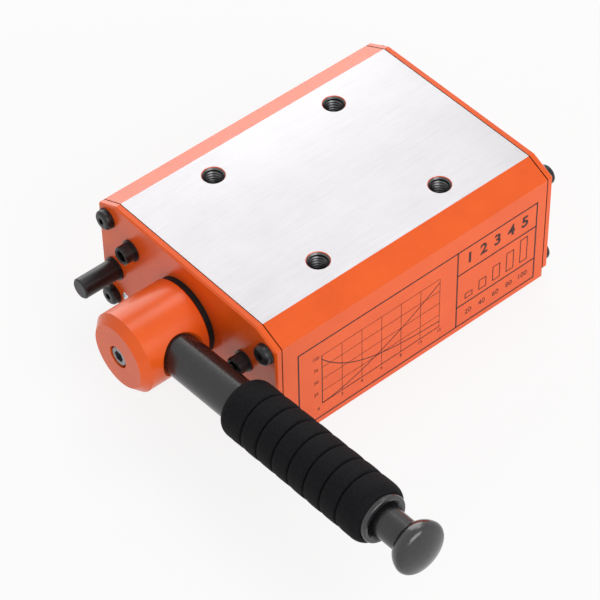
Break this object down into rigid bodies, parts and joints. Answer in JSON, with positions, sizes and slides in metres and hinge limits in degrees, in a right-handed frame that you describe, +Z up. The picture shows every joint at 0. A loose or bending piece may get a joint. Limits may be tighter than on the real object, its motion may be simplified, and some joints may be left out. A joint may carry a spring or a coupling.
{
  "type": "switchable magnetic base",
  "caption": "Switchable permanent-magnet base: orange steel body with tapped top, end plates, rotor hub and a hand lever with a foam grip and a push button latch.",
  "frame": {"origin": "centre of the pole face, the flat underside of the body", "axes": "+Z up out of the ground top, Y along the body and the rotor's axis with the hub at -Y, lever towards +X"},
  "size_m": [0.2323, 0.2016, 0.067],
  "materials": {
    "orange_paint": "satin",
    "black_oxide": "satin",
    "bright_steel": "satin",
    "black_nylon": "matte",
    "pole_steel": "ground",
    "magnet_alloy": "satin",
    "brass": "satin",
    "shaft_steel": "satin",
    "black_lacquer": "satin",
    "foam_rubber": "matte",
    "black_gloss": "gloss",
    "spring_steel": "satin"
  },
  "bodies": {
    "base": {"magnet_housing": "orange_paint", "front_end_plate": "orange_paint", "rear_end_plate": "orange_paint", "front_plate_screws": "black_oxide", "rear_plate_screws": "black_oxide", "front_screw_washers": "black_oxide", "rear_screw_washers": "black_oxide", "front_dowel_pins": "bright_steel", "rear_dowel_pins": "bright_steel", "keeper_bush_right": "black_oxide", "keeper_bush_left": "black_oxide", "handle_stop_pin": "black_oxide", "hub_thrust_washer": "black_nylon", "pole_left": "pole_steel", "pole_right": "pole_steel", "stator_magnets_left": "magnet_alloy", "stator_magnets_right": "magnet_alloy", "pole_gap_strip": "brass", "side_gap_strips": "brass", "ceiling_spacers": "brass", "front_bearing_flange": "brass", "rear_bearing_flange": "brass"},
    "lever": {"rotor_pole_a": "pole_steel", "rotor_pole_b": "pole_steel", "rotor_magnets": "magnet_alloy", "rotor_front_shaft": "shaft_steel", "rotor_rear_shaft": "shaft_steel", "handle_hub": "orange_paint", "hub_key": "shaft_steel", "hub_screw": "black_oxide", "handle_tube": "black_lacquer", "handle_grip": "foam_rubber", "tube_end_cap": "black_gloss", "spring_seat": "shaft_steel", "button_spring": "spring_steel"},
    "button": {"button_rod": "black_lacquer", "button_knob": "black_gloss"},
    "latch": {"latch_plunger": "shaft_steel", "plunger_pin": "shaft_steel"}
  },
  "joints": [
    {"name": "lever_turn", "type": "hinge", "parent": "base", "child": "lever", "pos_m": [0, -0.1, 0.0376], "axis": [0, -1, 0], "range_deg": [0, 171]},
    {"name": "button_push", "type": "slide", "parent": "lever", "child": "button", "axis": [-0.998, 0, -0.0628], "range_m": [0, 0.008], "stiffness_N_per_m": 1200, "springref_m": -0.004, "deforming": ["button_spring"]},
    {"name": "latch_slide", "type": "slide", "parent": "lever", "child": "latch", "axis": [0, -1, 0], "range_m": [0, 0.004]}
  ],
  "couplings": [
    {"joint": "latch_slide", "follows": "button_push", "ratio": 0.5}
  ]
}
